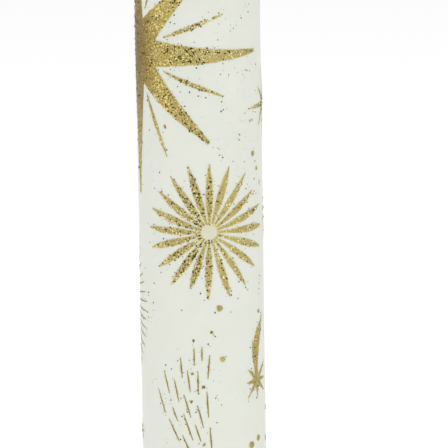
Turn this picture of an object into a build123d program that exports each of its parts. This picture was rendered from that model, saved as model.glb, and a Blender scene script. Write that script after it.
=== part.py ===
from build123d import *

import os
from math import atan2, cos, degrees, radians, sin, sqrt

# A unity candle: a tall dipped wax pillar, its wick and tinplate wick sustainer, and gold
# glitter transfers on the wall. Millimetres, +Z up, origin at the centre of the base.
# A place on the wall is an angle round the candle (0 faces -Y, positive towards +X, in degrees)
# and a height above the base. A motif is drawn flat, about its own centre, and then wrapped.

# ---- Wax body ----
candle_diameter = 50.0
candle_height = 300.0
coat_thickness = 1.2  # hard white overdip, on the wall and over the middle of the top
shoulder_radius = 3.5  # rounded rim at the top
base_edge_radius = 0.8
top_dish_depth = 0.8  # hollow of the top face, deepest at the wick
top_rim_land = 2.5  # flat ring between the shoulder and the hollow

# ---- Wick and sustainer ----
wick_diameter = 2.4
wick_straight_stub = 5.0
wick_bent_end = 8.0  # length along the wick of the part that leans over
wick_bend_angle = 22.0
wick_clearance = 0.05  # between the wick and its bore
sustainer_disc_diameter = 18.0
sustainer_thickness = 0.3
sustainer_neck_height = 6.0
sustainer_neck_wall = 0.35
sustainer_edge_radius = 0.1
sustainer_pocket_clearance = 0.3
sustainer_inset = 0.2  # height of the disc above the foot of the candle

# ---- Transfers ----
transfer_thickness = 0.12
artwork_diameter = 50.0  # the candle that the artwork is drawn for
artwork_height = 300.0
outline_step = 4.0  # about the longest straight edge that is wrapped as one
sleeve_overshoot = 1.0  # how far a cutting bar stands out past the wall

star_arm = 58.8
star_diagonal_arm = 50.0
star_valley_radius = 14.0
star_root_half_width = 5.2
star_tip_half_width = 0.6
star_ray_span = (18.5, 45.0)
star_ray_half_width = 0.8
star_arm_leans = (-0.5, 0.0, 0.0, 0.0, 0.0, 0.0, 0.0, 0.0)  # degrees off the even spacing
star_ray_leans = (-1.3, 0.0, 0.0, 0.0, 0.0, 0.0, 1.2, 0.4)

sunburst_hub_radius = 3.3
sunburst_tip_radii = (  # one for each petal, from the right and anticlockwise
    28.0, 28.2, 25.6, 27.6, 27.4, 27.6, 28.0, 27.2, 26.4, 26.6,
    27.0, 26.8, 26.2, 27.0, 24.2, 27.4, 28.0, 28.0, 27.4, 28.2,
)
sunburst_root_half_width = 0.32
sunburst_half_width = 1.38

ray_burst_rays = 60
ray_burst_span = (24.0, 38.5)
ray_burst_half_width = 0.28

comet_body_radius = 2.4
comet_rays = [  # (angle, length) of each ray of its star
    (40, 9.8), (-3, 8.0), (-39, 8.9), (-86, 7.0), (-132, 8.5), (-177, 6.3), (137, 7.4), (93, 4.0),
]
comet_main_tail = [  # (x, y, half width) along its middle
    (0.0, 1.5, 1.2), (-0.5, 5.7, 1.3), (-0.4, 9.5, 1.75), (0.0, 13.8, 2.1), (0.8, 17.2, 2.3),
    (2.1, 20.0, 2.1), (3.9, 22.8, 0.8), (5.2, 26.0, 0.2),
]
comet_side_tail = [(-1.2, 5.0, 0.5), (-2.0, 9.5, 0.8), (-2.4, 13.5, 0.75), (-2.6, 16.6, 0.2)]

falling_star_radius = 8.0
falling_star_short_share = 0.65
falling_star_waist_share = 0.27
streak_half_width = 0.36
streaks = [  # (x, y) of the upper and lower end of each streak, from the falling star's centre
    ((-25.3, 50.3), (-21.8, 41.0)), ((-22.0, 58.2), (-19.6, 49.3)), ((-17.2, 55.0), (-15.4, 46.3)),
    ((-20.0, 38.5), (-15.6, 30.0)), ((-18.3, 43.5), (-16.1, 38.2)), ((-14.4, 64.3), (-13.7, 56.3)),
    ((-11.6, 59.0), (-10.5, 50.5)), ((-13.1, 49.0), (-10.5, 40.0)), ((-13.3, 40.8), (-9.8, 30.5)),
    ((-14.0, 32.3), (-10.2, 23.5)), ((-8.7, 68.5), (-8.7, 61.5)), ((-5.5, 69.0), (-5.6, 63.5)),
    ((-7.3, 58.5), (-7.3, 49.6)), ((-7.6, 44.7), (-5.4, 35.8)), ((-8.7, 36.8), (-6.5, 30.0)),
    ((-2.5, 65.5), (-3.3, 56.0)), ((-3.8, 50.5), (-3.3, 40.0)), ((-2.8, 35.5), (-2.0, 24.5)),
    ((-5.0, 22.0), (-3.6, 14.0)), ((-9.0, 18.5), (-6.0, 12.0)), ((0.4, 20.0), (0.3, 12.0)),
]

sparkle_short_share = 0.72
sparkle_waist_share = 0.2
small_star_short_share = 0.62
small_star_waist_share = 0.24

# ---- Where the motifs stand: angle, height, scale and turn ----
star_places = {"": (-72.5, 223.8, 1.0, 0.0)}
sunburst_places = {"_front": (7.7, 152.0, 1.0, -1.0), "_back": (115.0, 153.5, 0.55, 4.0)}
ray_burst_places = {"_left": (-149.0, 117.3, 1.0, 0.0), "_top": (60.0, 267.0, 0.5, 0.0)}
comet_places = {"_right": (59.6, 88.2, 1.0, 0.0), "_back": (138.0, 246.0, 1.0, 0.0)}
falling_star_places = {"_front": (12.0, 36.0, 1.0, 0.0), "_back": (-165.0, 36.0, 0.6, 0.0)}
sparkle_places = {"_right": (88.0, 200.0, 15.5, 0.0), "_back": (-140.0, 172.0, 8.0, 0.0)}
small_star_places = [  # the scale is the length of the long rays
    (-85.0, 66.0, 5.8, 0.0), (10.0, 283.0, 5.0, 0.0), (-42.0, 28.0, 6.5, 0.0), (76.0, 36.0, 5.5, 0.0),
    (112.0, 88.0, 6.5, 0.0), (-178.0, 196.0, 6.0, 0.0), (104.0, 236.0, 5.5, 0.0), (140.0, 52.0, 5.0, 0.0),
]
dot_places = [  # the scale is the dot's radius
    (16.5, 120.6, 1.2, 0.0), (58.0, 181.5, 1.1, 0.0), (62.0, 178.0, 0.4, 0.0), (64.5, 175.0, 0.8, 0.0),
    (60.0, 171.0, 0.4, 0.0), (72.0, 169.0, 0.45, 0.0), (57.5, 165.0, 0.4, 0.0), (61.0, 63.9, 1.2, 0.0),
    (50.0, 61.8, 1.5, 0.0), (64.4, 116.2, 0.8, 0.0), (83.7, 74.4, 1.2, 0.0), (82.1, 61.7, 1.1, 0.0),
    (54.0, 195.3, 0.45, 0.0), (57.5, 195.2, 0.45, 0.0),
    (-100.0, 166.0, 1.1, 0.0), (-62.0, 44.0, 0.9, 0.0), (150.0, 190.0, 1.2, 0.0),
    (-165.0, 250.0, 1.0, 0.0), (-30.0, 289.0, 1.0, 0.0), (35.0, 24.0, 1.1, 0.0), (115.0, 50.0, 1.0, 0.0),
    (-33.0, 194.7, 0.6, 0.0),
]
streak_dots = [  # (x, y, radius) of the dots among the front streaks, from the falling star's centre
    (2.9, 63.6, 1.1), (-1.5, 75.0, 0.6), (-8.9, 71.8, 0.5), (-9.5, 58.0, 0.5), (-5.1, 52.5, 0.7),
    (-10.1, 46.4, 0.5), (-5.2, 28.7, 0.5),
]

# ---- Loose flakes: start angle and height, end angle and height, number of flakes ----
flake_trails = [
    (17.0, 181.0, 27.0, 196.0, 9), (50.0, 212.0, 72.0, 240.0, 10), (-62.0, 172.0, -46.0, 181.0, 6),
    (-29.0, 95.0, -22.5, 104.0, 4), (11.0, 90.3, 16.0, 95.6, 4), (66.0, 120.0, 70.0, 132.0, 5),
    (124.0, 172.0, 146.0, 182.0, 7), (100.0, 112.0, 112.0, 130.0, 6), (-70.0, 78.0, -56.0, 88.0, 5),
]
flake_size = 0.4
flake_stray = 1.4  # how far flakes lie from the line of their trail

# ---- Worked out from the sizes above ----
candle_radius = candle_diameter / 2
core_radius = candle_radius - coat_thickness
wick_surface = candle_height - top_dish_depth
core_top = wick_surface - coat_thickness
core_shoulder_radius = max(shoulder_radius - coat_thickness, base_edge_radius)
top_dish_radius = candle_radius - shoulder_radius - top_rim_land
wick_bore_radius = wick_diameter / 2 + wick_clearance
wick_foot = sustainer_inset + sustainer_thickness
neck_outer_radius = wick_bore_radius + sustainer_neck_wall
neck_top = wick_foot + sustainer_neck_height
height_scale = candle_height / artwork_height
artwork_scale = min(candle_diameter / artwork_diameter, height_scale)
upright = (Align.CENTER, Align.CENTER, Align.MIN)


# ---- Wax, wick and sustainer ----


def core_envelope():
    """The inside of the overdip: a plain cylinder with a rounded top."""
    core = Cylinder(core_radius, core_top, align=upright)
    return fillet(core.edges().group_by(Axis.Z)[-1], core_shoulder_radius)


def wick_bore():
    return Cylinder(wick_bore_radius, 2 * candle_height)


def make_overdip_coat():
    """A tube closed at the top, with a rounded rim and a shallow spherical hollow round the wick."""
    body = Cylinder(candle_radius, candle_height, align=upright)
    body = fillet(body.edges().group_by(Axis.Z)[-1], shoulder_radius)
    body = fillet(body.edges().group_by(Axis.Z)[0], base_edge_radius)
    dish_radius = (top_dish_radius**2 + top_dish_depth**2) / (2 * top_dish_depth)
    dish = Pos(0, 0, wick_surface + dish_radius) * Sphere(dish_radius)
    return body - dish - core_envelope() - wick_bore()


def make_wax_core():
    """Pressed wax with the wick's bore through it and a stepped recess for the sustainer."""
    gap = sustainer_pocket_clearance
    disc_recess = Cylinder(sustainer_disc_diameter / 2 + gap, 2 * (wick_foot + gap))
    neck_recess = Cylinder(neck_outer_radius + gap, 2 * (neck_top + gap))
    return core_envelope() - wick_bore() - disc_recess - neck_recess


def make_wick_sustainer():
    """Stamped tinplate disc with a tube drawn up from it to grip the wick."""
    base = Pos(0, 0, sustainer_inset)
    disc = base * Cylinder(sustainer_disc_diameter / 2, sustainer_thickness, align=upright)
    disc = fillet(disc.edges(), sustainer_edge_radius)
    neck = base * Cylinder(neck_outer_radius, neck_top - sustainer_inset, align=upright)
    bore = Pos(0, 0, wick_foot) * Cylinder(wick_bore_radius, neck_top, align=upright)
    return disc + neck - bore


def make_wick():
    """Straight through the wax, then a stub that leans over in one gentle arc."""
    bend_radius = wick_bent_end / radians(wick_bend_angle)
    stub_top = wick_surface + wick_straight_stub
    straight = Line((0, 0, wick_foot), (0, 0, stub_top))
    lean = Plane(origin=(0, 0, 0), x_dir=(1, 0, 0), z_dir=(0, -1, 0))
    arc = lean * CenterArc((bend_radius, stub_top), bend_radius, 180, -wick_bend_angle)
    section = Plane(origin=(0, 0, wick_foot)) * Circle(wick_diameter / 2)
    return sweep(section, path=Wire([straight.edge(), arc.edge()]))


# ---- Outlines, drawn flat about the motif's centre ----


def turned(points, angle):
    """Points turned about the motif's centre by an angle in degrees."""
    c, s = cos(radians(angle)), sin(radians(angle))
    return [(x * c - y * s, x * s + y * c) for x, y in points]


def blade(stations):
    """A straight stroke along +X from (distance, half width) stations."""
    return [(a, -w) for a, w in stations] + [(a, w) for a, w in reversed(stations)]


def brush_stroke(stations):
    """A curved stroke from (x, y, half width) stations along its middle."""
    left, right = [], []
    for i, (x, y, w) in enumerate(stations):
        before, after = stations[max(i - 1, 0)], stations[min(i + 1, len(stations) - 1)]
        angle = atan2(after[1] - before[1], after[0] - before[0])
        left.append((x - w * sin(angle), y + w * cos(angle)))
        right.append((x + w * sin(angle), y - w * cos(angle)))
    return right + left[::-1]


def star_outline(rays, waist):
    """A star with a tip for each (angle, radius) ray and a waist point between each two rays."""
    rays = sorted((angle % 360, radius) for angle, radius in rays)
    points = []
    for i, (angle, radius) in enumerate(rays):
        following = rays[(i + 1) % len(rays)][0] + (360 if i + 1 == len(rays) else 0)
        points += turned([(radius, 0)], angle) + turned([(waist, 0)], (angle + following) / 2)
    return points


def eight_pointed_star(short_share, waist_share):
    """A star of unit size with four long rays, four short ones and a narrow waist."""
    return star_outline([(45 * i, short_share if i % 2 else 1.0) for i in range(8)], waist_share)


def great_star():
    """An eight-sided hub with eight tapering arms."""
    hub = [turned([(star_valley_radius, 0)], 45 * i + 22.5)[0] for i in range(8)]
    knee = star_valley_radius * cos(radians(22.5))
    arms = []
    for i in range(8):
        tip = star_diagonal_arm if i % 2 else star_arm
        stations = [(knee * 0.8, star_root_half_width), (knee, star_root_half_width),
                    (tip - star_tip_half_width, star_tip_half_width), (tip, star_tip_half_width / 3)]
        arms.append(turned(blade(stations), 45 * i + star_arm_leans[i]))
    return [hub] + arms


def great_star_rays():
    """A thin ray between each two arms of the great star."""
    start, end = star_ray_span
    profile = [(0.0, 0.2), (0.25, 0.75), (0.5, 1.0), (0.78, 0.7), (1.0, 0.2)]
    ray = blade([(start + t * (end - start), w * star_ray_half_width) for t, w in profile])
    return [turned(ray, 45 * i + 22.5 + star_ray_leans[i]) for i in range(8)]


def sunburst():
    """Leaf-shaped petals, widest past their middle, round an empty hub."""
    profile = [(0.0, 0.0), (0.55, 1.0), (0.78, 0.8), (1.0, -0.15)]
    extra = sunburst_half_width - sunburst_root_half_width
    petals = []
    for i, tip in enumerate(sunburst_tip_radii):
        length = tip - sunburst_hub_radius
        petal = blade([(sunburst_hub_radius + t * length, sunburst_root_half_width + w * extra)
                       for t, w in profile])
        petals.append(turned(petal, 360 / len(sunburst_tip_radii) * i))
    return petals


def ray_burst():
    """A ring of fine rays like a firework."""
    start, end = ray_burst_span
    stations = [(start, ray_burst_half_width / 2), ((start + end) / 2, ray_burst_half_width),
                (end, ray_burst_half_width / 2)]
    return [turned(blade(stations), 360 / ray_burst_rays * i) for i in range(ray_burst_rays)]


def comet():
    """A small star with a forked tail that blows upward."""
    head = star_outline(comet_rays, comet_body_radius)
    return [head, brush_stroke(comet_main_tail), brush_stroke(comet_side_tail)]


def falling_star():
    star = eight_pointed_star(falling_star_short_share, falling_star_waist_share)
    return [[(x * falling_star_radius, y * falling_star_radius) for x, y in star]]


def falling_star_streaks():
    """Dashes that fan out above the falling star, pointed at both ends."""
    strokes = []
    for (x0, y0), (x1, y1) in streaks:
        profile = [(0.0, 0.5), (0.3, 1.0), (0.7, 1.0), (1.0, 0.5)]
        strokes.append(brush_stroke([(x0 + t * (x1 - x0), y0 + t * (y1 - y0), w * streak_half_width)
                                     for t, w in profile]))
    return strokes


def sparkle():
    return [eight_pointed_star(sparkle_short_share, sparkle_waist_share)]


def small_star():
    return [eight_pointed_star(small_star_short_share, small_star_waist_share)]


def dot():
    """A small round dot; its straight sides are too short to see."""
    sides = 14
    return [[turned([(1.0, 0)], 360 / sides * i)[0] for i in range(sides)]]


def flake():
    """One hexagonal glitter flake of unit size."""
    return [[turned([(0.5, 0)], 60 * i)[0] for i in range(6)]]


# ---- Wrapping a motif round the wall ----


def placed(outline, place):
    """An outline moved to its place, as points (distance round the wall, height) on this candle."""
    angle, height, scale, turn = place
    scale *= artwork_scale
    return [(radians(angle) * candle_radius + x * scale, height * height_scale + y * scale)
            for x, y in turned(outline, turn)]


def divided(points):
    """The same closed outline with its long edges split to about outline_step."""
    fine = []
    for (x0, y0), (x1, y1) in zip(points, points[1:] + points[:1]):
        count = max(1, round(sqrt((x1 - x0) ** 2 + (y1 - y0) ** 2) / outline_step))
        fine += [(x0 + (x1 - x0) * i / count, y0 + (y1 - y0) * i / count) for i in range(count)]
    return fine


def cutting_bar(outline, place):
    """A bar that cuts the wrapped shape of an outline from a thin sleeve on the wall.

    It runs straight out of the wall at the outline's middle. Each of its points stands at
    radius x sine(arc length / radius) from that middle, so it meets the wall where a wrapped
    sheet would lie.
    """
    points = divided(placed(outline, place))
    across = [x for x, _ in points]
    middle = (min(across) + max(across)) / 2
    half_span = (max(across) - min(across)) / 2 / candle_radius
    flat = [(candle_radius * sin((x - middle) / candle_radius), y) for x, y in points]
    angle = middle / candle_radius
    facing = Plane(origin=(0, 0, 0), x_dir=(cos(angle), sin(angle), 0), z_dir=(sin(angle), -cos(angle), 0))
    near = 0.8 * candle_radius * cos(half_span)
    face = Face(Wire.make_polygon([(x, y, near) for x, y in flat]))
    return facing.location * extrude(face, candle_radius + sleeve_overshoot - near, dir=(0, 0, 1))


def wall_sleeve():
    """The layer on the wall that the transfers are cut from."""
    outside = Cylinder(candle_radius + transfer_thickness, candle_height, align=upright)
    return outside - Cylinder(candle_radius, candle_height, align=upright)


def separate_patches(outlines, place):
    """A solid for each outline, where none of them touch."""
    sleeve = wall_sleeve()
    return [solid for outline in outlines for solid in (sleeve & cutting_bar(outline, place)).solids()]


def joined_patch(outlines, place):
    """One solid from outlines that overlap."""
    bars = [cutting_bar(outline, place) for outline in outlines]
    return list((wall_sleeve() & bars[0].fuse(*bars[1:])).solids())


def scattered(motif, places):
    """The same small motif at many places."""
    return [solid for place in places for solid in joined_patch(motif(), place)]


def streak_dot_places():
    """Places of the dots among the front streaks, which keep their distance from the falling star."""
    angle, height, scale, turn = falling_star_places["_front"]
    return [(angle + degrees(x * artwork_scale / candle_radius), height + y * artwork_scale / height_scale,
             radius, 0.0) for x, y, radius in streak_dots]


def flake_places():
    """Places along each trail of loose flakes, strayed from its line and turned unevenly."""
    places = []
    for angle0, height0, angle1, height1, count in flake_trails:
        for i in range(count):
            t = i / (count - 1)
            angle = angle0 + t * (angle1 - angle0) + flake_stray * sin(5.1 * i + angle0)
            height = height0 + t * (height1 - height0) + flake_stray * cos(3.7 * i + height0)
            places.append((angle, height, flake_size, 23 * i))
    return places


# Motif name: its outlines, its places, and how its solids are made
motifs = {
    "great_star_transfer": (great_star, star_places, joined_patch),
    "great_star_ray_transfer": (great_star_rays, star_places, separate_patches),
    "sunburst_transfer": (sunburst, sunburst_places, separate_patches),
    "ray_burst_transfer": (ray_burst, ray_burst_places, separate_patches),
    "comet_transfer": (comet, comet_places, joined_patch),
    "falling_star_transfer": (falling_star, falling_star_places, joined_patch),
    "falling_star_streak_transfer": (falling_star_streaks, falling_star_places, separate_patches),
    "sparkle_transfer": (sparkle, sparkle_places, joined_patch),
}
groups = {
    "small_star_transfers": (small_star, small_star_places),
    "dot_transfers": (dot, dot_places + streak_dot_places()),
    "loose_glitter_flakes": (flake, flake_places()),
}


def make_parts():
    """Each node's name with its list of solids."""
    parts = {
        "wax_core": make_wax_core().solids(),
        "overdip_coat": make_overdip_coat().solids(),
        "wick": make_wick().solids(),
        "wick_sustainer": make_wick_sustainer().solids(),
    }
    for name, (motif, places, make) in motifs.items():
        for side, place in places.items():
            parts[name + side] = make(motif(), place)
    for name, (motif, places) in groups.items():
        parts[name] = scattered(motif, places)
    return parts


def main():
    os.makedirs("parts", exist_ok=True)
    for node, solids in make_parts().items():
        body = solids[0] if len(solids) == 1 else Compound(children=list(solids))
        body.label = node
        export_step(body, f"parts/{node}.step")


main()
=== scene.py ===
import math
import bpy
import numpy as np
from mathutils import Euler, Matrix, Vector


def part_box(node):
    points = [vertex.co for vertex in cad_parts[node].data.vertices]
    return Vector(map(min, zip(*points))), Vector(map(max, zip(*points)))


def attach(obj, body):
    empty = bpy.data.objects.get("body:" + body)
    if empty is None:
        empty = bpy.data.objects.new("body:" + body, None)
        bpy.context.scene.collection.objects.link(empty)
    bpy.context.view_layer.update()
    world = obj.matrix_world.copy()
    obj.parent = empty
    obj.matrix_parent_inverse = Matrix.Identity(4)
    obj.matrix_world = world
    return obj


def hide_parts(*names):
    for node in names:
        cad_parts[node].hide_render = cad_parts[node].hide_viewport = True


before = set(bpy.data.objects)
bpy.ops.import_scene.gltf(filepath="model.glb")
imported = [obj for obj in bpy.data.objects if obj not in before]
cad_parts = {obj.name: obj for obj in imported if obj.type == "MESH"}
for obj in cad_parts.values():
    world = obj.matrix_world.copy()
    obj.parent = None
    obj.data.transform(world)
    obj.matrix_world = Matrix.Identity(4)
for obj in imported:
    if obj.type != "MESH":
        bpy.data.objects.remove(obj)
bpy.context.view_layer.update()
mm = 0.001

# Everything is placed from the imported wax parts: the wall's radius, the candle's height and the core
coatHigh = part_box("overdip_coat")[1]
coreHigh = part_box("wax_core")[1]
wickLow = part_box("wick")[0]
sustainerLow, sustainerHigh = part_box("wick_sustainer")
wallRadius = coatHigh.x / mm
candleHeight = coatHigh.z / mm
coreRadius = coreHigh.x / mm
coreTop = coreHigh.z / mm
drawnRadius = 25.0  # of the wall that the artwork is drawn for
artScale = wallRadius / drawnRadius
print("frame: wall radius %.2f mm, height %.1f mm" % (wallRadius, candleHeight))

# ---- camera ----

cameraSetup = {
    "elevation": 12.5,  # degrees above the horizon
    "distance": 2.2,  # metres from the axis
    "lens": 438.5,
    "aimHeight": 0.5,  # share of the candle's height
    "candleLeftOfCentre": 0.0093,  # metres
    "roll": -0.87,  # degrees
}


# A new object in the scene's own collection
def addToScene(name, data):
    item = bpy.data.objects.new(name, data)
    bpy.context.scene.collection.objects.link(item)
    return item


# The camera looks along +Y and down, turned a little about its own line of sight; the candle's axis
# point stands left of the frame's centre, measured along the camera's own right-hand direction
def makeCamera(setup):
    elevation = math.radians(setup["elevation"])
    aim = Vector((0, 0, setup["aimHeight"] * candleHeight * mm))
    level = Euler((math.pi / 2 - elevation, 0, 0)).to_matrix()
    turned = level @ Matrix.Rotation(math.radians(setup["roll"]), 3, "Z")
    place = aim + turned @ Vector((setup["candleLeftOfCentre"], 0, setup["distance"]))
    data = bpy.data.cameras.new("mainCamera")
    data.lens = setup["lens"]
    data.sensor_width = 36
    data.clip_start = 0.05
    data.clip_end = 30
    camera = addToScene("mainCamera", data)
    camera.matrix_world = Matrix.Translation(place) @ turned.to_4x4()
    bpy.context.scene.camera = camera


makeCamera(cameraSetup)
print("camera ready")


# ---- making meshes from arrays ----


# A mesh object from an array of points in millimetres and an array of faces, all with as many corners
def makePiece(name, points, faces, smooth=True):
    mesh = bpy.data.meshes.new(name)
    points = np.asarray(points, np.float32) * mm
    faces = np.asarray(faces, np.int32)
    corners = faces.shape[1]
    mesh.vertices.add(len(points))
    mesh.vertices.foreach_set("co", points.ravel())
    mesh.loops.add(faces.size)
    mesh.loops.foreach_set("vertex_index", faces.ravel())
    mesh.polygons.add(len(faces))
    mesh.polygons.foreach_set("loop_start", np.arange(len(faces), dtype=np.int32) * corners)
    mesh.polygons.foreach_set("use_smooth", np.full(len(faces), smooth))
    mesh.update(calc_edges=True)
    return addToScene(name, mesh)


# Quads of a grid of rows x columns points; a wrapped direction joins its last line to its first
def gridFaces(rows, columns, wrapRows=False, wrapColumns=False):
    i = np.arange(rows if wrapRows else rows - 1)[:, None]
    j = np.arange(columns if wrapColumns else columns - 1)[None, :]
    nextRow = (i + 1) % rows
    nextColumn = (j + 1) % columns
    quads = np.stack(np.broadcast_arrays(i * columns + j, i * columns + nextColumn,
                                         nextRow * columns + nextColumn, nextRow * columns + j), -1)
    return quads.reshape(-1, 4)


def addAttribute(piece, name, values):
    layer = piece.data.attributes.new(name, "FLOAT", "POINT")
    layer.data.foreach_set("value", np.asarray(values, np.float32))


# Closed profile turned round Z: point = (r sin a, -r cos a, z). Where a wave is given, each row's
# third number times wave(angle, z) is added to its radius
def lathe(name, profile, segments, wave=None):
    profile = np.asarray(profile, float)
    angle = np.arange(segments) / segments * 2 * np.pi
    r = np.repeat(profile[:, :1], segments, 1)
    z = np.repeat(profile[:, 1:2], segments, 1)
    if wave is not None:
        r = r + profile[:, 2:3] * wave(angle[None, :], z)
    points = np.stack([r * np.sin(angle), -r * np.cos(angle), z], -1).reshape(-1, 3)
    return makePiece(name, points, gridFaces(len(profile), segments, True, True))


# Mean of sine waves with seeded directions, phases and lengths, times 1.6 so that it mostly runs
# between -1 and 1
def waves(x, y, wavelength, seed, count=7):
    rng = np.random.default_rng(seed)
    total = np.zeros(np.broadcast(x, y).shape)
    for direction, phase, stretch in zip(rng.uniform(0, np.pi, count), rng.uniform(0, 2 * np.pi, count),
                                         rng.uniform(0.7, 1.5, count)):
        k = 2 * np.pi / (wavelength * stretch)
        total += np.sin(k * (x * np.cos(direction) + y * np.sin(direction)) + phase)
    return total / count * 1.6


# ---- materials ----


def addNode(tree, kind, **settings):
    node = tree.nodes.new(kind)
    for key, value in settings.items():
        if hasattr(node, key):
            setattr(node, key, value)
        else:
            node.inputs[key.replace("_", " ")].default_value = value
    return node


# Joins an output to a node's input, given by its name or number
def wire(output, node, name):
    node.id_data.links.new(output, node.inputs[name])


def newGroup(name, inputs, outputs):
    group = bpy.data.node_groups.new(name, "ShaderNodeTree")
    for label, kind, value in inputs:
        socket = group.interface.new_socket(label, in_out="INPUT", socket_type=kind)
        if value is not None:
            socket.default_value = value
    for label, kind in outputs:
        group.interface.new_socket(label, in_out="OUTPUT", socket_type=kind)
    given, result = group.nodes.new("NodeGroupInput"), group.nodes.new("NodeGroupOutput")
    return group, given.outputs, result


# Mottle: value = share of broad cloudy noise mixed with fine noise, both in object space
def buildMottleGroup():
    group, given, result = newGroup(
        "waxMottle",
        [("Vector", "NodeSocketVector", None), ("Broad", "NodeSocketFloat", 90.0),
         ("Fine", "NodeSocketFloat", 700.0), ("Fine Share", "NodeSocketFloat", 0.4)],
        [("Value", "NodeSocketFloat")])
    broad = addNode(group, "ShaderNodeTexNoise", Detail=3.0, Roughness=0.55)
    fine = addNode(group, "ShaderNodeTexNoise", Detail=2.0, Roughness=0.6)
    mix = addNode(group, "ShaderNodeMix", data_type="FLOAT")
    for noise, label in ((broad, "Broad"), (fine, "Fine")):
        wire(given["Vector"], noise, "Vector")
        wire(given[label], noise, "Scale")
    wire(given["Fine Share"], mix, 0)
    wire(broad.outputs["Fac"], mix, 2)
    wire(fine.outputs["Fac"], mix, 3)
    wire(mix.outputs[0], result, "Value")
    return group


# Glitter grain: a random tone for each cell of a fine cell pattern, and a normal tilted by it
def buildGrainGroup():
    group, given, result = newGroup(
        "glitterGrain",
        [("Vector", "NodeSocketVector", None), ("Cells", "NodeSocketFloat", 2600.0),
         ("Relief", "NodeSocketFloat", 0.5)],
        [("Tone", "NodeSocketFloat"), ("Normal", "NodeSocketVector")])
    cells = addNode(group, "ShaderNodeTexVoronoi", feature="F1", Randomness=1.0)
    split = addNode(group, "ShaderNodeSeparateColor")
    bump = addNode(group, "ShaderNodeBump", Distance=0.00012)
    wire(given["Vector"], cells, "Vector")
    wire(given["Cells"], cells, "Scale")
    wire(cells.outputs["Color"], split, 0)
    wire(given["Relief"], bump, "Strength")
    wire(split.outputs["Green"], bump, "Height")
    wire(split.outputs["Red"], result, "Tone")
    wire(bump.outputs["Normal"], result, "Normal")
    return group


# Gold tint: colour times the dull tint by Dull (dull gold, and painted shade on the great star's heart) and
# the warm tint by Warm (painted light)
def buildTintGroup(dullAndShadeTint, warmAndLitTint):
    group, given, result = newGroup(
        "goldTint",
        [("Color", "NodeSocketColor", None), ("Dull", "NodeSocketFloat", 0.0),
         ("Warm", "NodeSocketFloat", 0.0)],
        [("Color", "NodeSocketColor")])
    colour = given["Color"]
    for label, tint in (("Dull", dullAndShadeTint), ("Warm", warmAndLitTint)):
        mix = addNode(group, "ShaderNodeMix", data_type="RGBA", blend_type="MULTIPLY")
        wire(given[label], mix, 0)
        wire(colour, mix, 6)
        mix.inputs[7].default_value = (*tint, 1)
        colour = mix.outputs[2]
    wire(colour, result, "Color")
    return group


waxLook = {
    "light": (0.835, 0.850, 0.770),
    "shade": (0.800, 0.820, 0.730),
    "coreLight": (0.84, 0.83, 0.76),
    "coreShade": (0.74, 0.73, 0.65),
    "subsurface": 0.25,
    "radius": (1.0, 0.85, 0.6),
    "depth": 0.0016,  # metres
}

goldLook = {
    # black and bright are also the tones of flakes that stand for painted dark reflections and painted
    # glints
    "black": (0.030, 0.020, 0.001),
    "deep": (0.32, 0.25, 0.07),
    "mid": (0.53, 0.435, 0.155),
    "bright": (1.0, 0.92, 0.52),
    "filmNear": (0.76, 0.69, 0.37),
    "filmFar": (0.77, 0.75, 0.58),
    # dull gold, and the painted shade of the great star's heart
    "dullAndShadeTint": (0.47, 0.39, 0.27),
    # painted light: brighter, warmer gold round -42 degrees, together with the great star's own warmer gold
    "warmAndLitTint": (1.16, 1.10, 0.90),
}

mottleGroup = buildMottleGroup()
grainGroup = buildGrainGroup()
tintGroup = buildTintGroup(goldLook["dullAndShadeTint"], goldLook["warmAndLitTint"])


# A new material with its Principled shader, ready to link
def newMaterial(name, **settings):
    material = bpy.data.materials.new(name)
    material.use_nodes = True
    tree = material.node_tree
    shader = tree.nodes["Principled BSDF"]
    for label, value in settings.items():
        shader.inputs[label.replace("_", " ")].default_value = value
    return material, tree, shader


# A pattern group in object space, as its outputs
def pattern(tree, group, **values):
    node = addNode(tree, "ShaderNodeGroup", node_tree=group)
    wire(addNode(tree, "ShaderNodeTexCoord").outputs["Object"], node, "Vector")
    for label, value in values.items():
        node.inputs[label.replace("_", " ")].default_value = value
    return node.outputs


# Output of a colour ramp from (position, colour) stops, where a plain number is a grey
def rampOf(tree, factor, stops):
    ramp = addNode(tree, "ShaderNodeValToRGB")
    elements = ramp.color_ramp.elements
    while len(elements) < len(stops):
        elements.new(0.5)
    for element, (position, colour) in zip(elements, stops):
        element.position = position
        element.color = (*colour, 1) if isinstance(colour, tuple) else (colour, colour, colour, 1)
    wire(factor, ramp, 0)
    return ramp.outputs[0]


def addBump(tree, height, shader, strength, distance):
    bump = addNode(tree, "ShaderNodeBump", Strength=strength, Distance=distance)
    wire(height, bump, "Height")
    wire(bump.outputs["Normal"], shader, "Normal")


def attribute(tree, name):
    return addNode(tree, "ShaderNodeAttribute", attribute_name=name).outputs["Fac"]


# Overdip: satin wax with faint clouds in its colour and a shallow, slow ripple
def overdipMaterial(look):
    material, tree, shader = newMaterial("overdipWax", IOR=1.44, Subsurface_Weight=look["subsurface"],
                                         Subsurface_Scale=look["depth"], Subsurface_Radius=look["radius"])
    cloud = pattern(tree, mottleGroup, Broad=55.0, Fine=420.0, Fine_Share=0.35)["Value"]
    ripple = pattern(tree, mottleGroup, Broad=120.0, Fine=1500.0, Fine_Share=0.15)["Value"]
    wire(rampOf(tree, cloud, [(0.35, look["shade"]), (0.65, look["light"])]), shader, "Base Color")
    wire(rampOf(tree, cloud, [(0.3, 0.38), (0.7, 0.5)]), shader, "Roughness")
    addBump(tree, ripple, shader, 0.25, 0.0002)
    return material


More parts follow.
